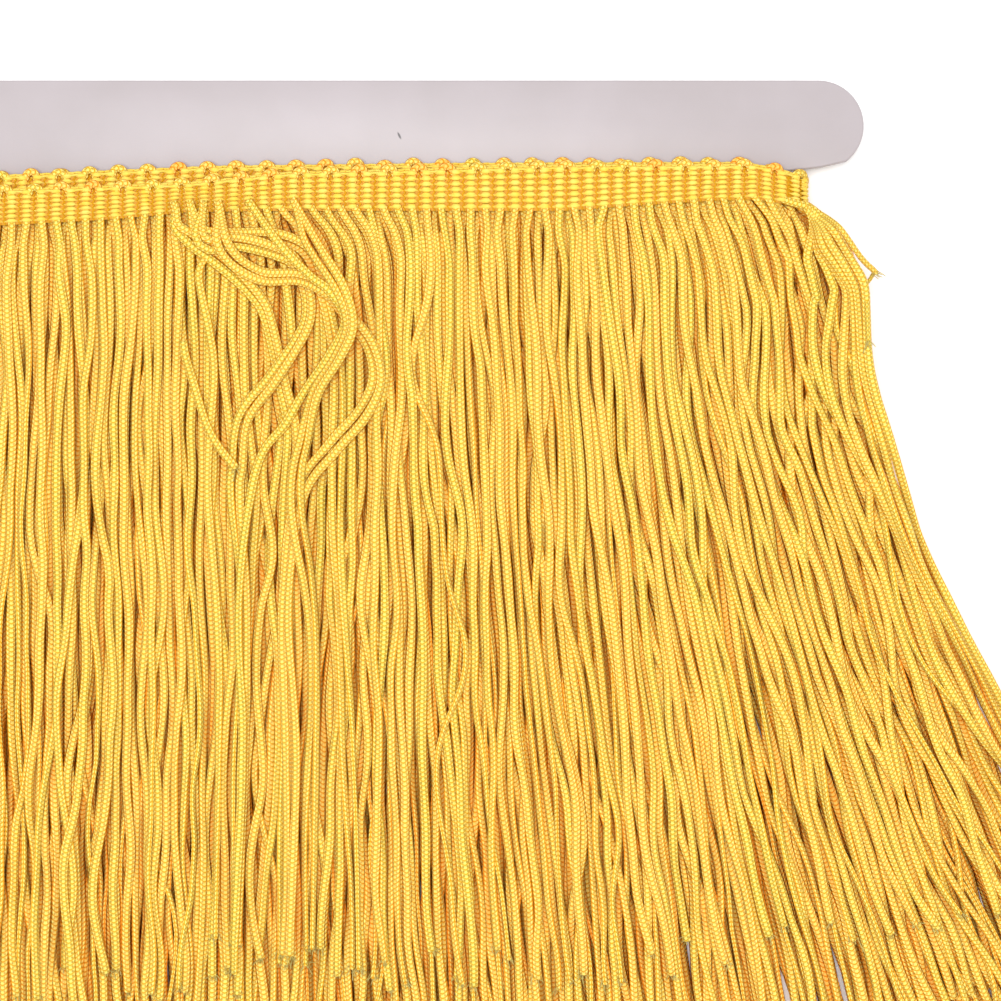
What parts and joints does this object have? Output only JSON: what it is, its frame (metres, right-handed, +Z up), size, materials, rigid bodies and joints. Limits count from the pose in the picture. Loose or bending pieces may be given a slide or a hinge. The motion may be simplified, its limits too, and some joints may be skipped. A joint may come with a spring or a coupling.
{
  "type": "tassel fringe trim wound on a flat winding card",
  "caption": "Yellow chainette tassel fringe trim with a picot-edged braid, wound on a flat white plastic card and lying on its back.",
  "frame": {"origin": "on the wound braid's back face, at the middle of its length, where the pack rests on a surface", "axes": "+X along the card to the end that the fringe spreads furthest past, +Y from the fringe's cut ends to the card's top edge, +Z up out of the pack's face"},
  "size_m": [0.2903, 0.1973, 0.0149],
  "materials": {
    "fringe_yarn": "glossy yellow rayon chainette cord, knitted in fine V stitches",
    "braid_yarn": "yellow rayon braid with raised crosswise bars and looped picots",
    "card_plastic": "pale grey polypropylene sheet, satin, with fine specks"
  },
  "bodies": {
    "root": {"winding_card": "card_plastic", "wound_braid": "braid_yarn", "fringe_back_outer": "fringe_yarn", "fringe_back_inner": "fringe_yarn", "fringe_front_inner": "fringe_yarn", "fringe_front_outer": "fringe_yarn"}
  },
  "joints": []
}
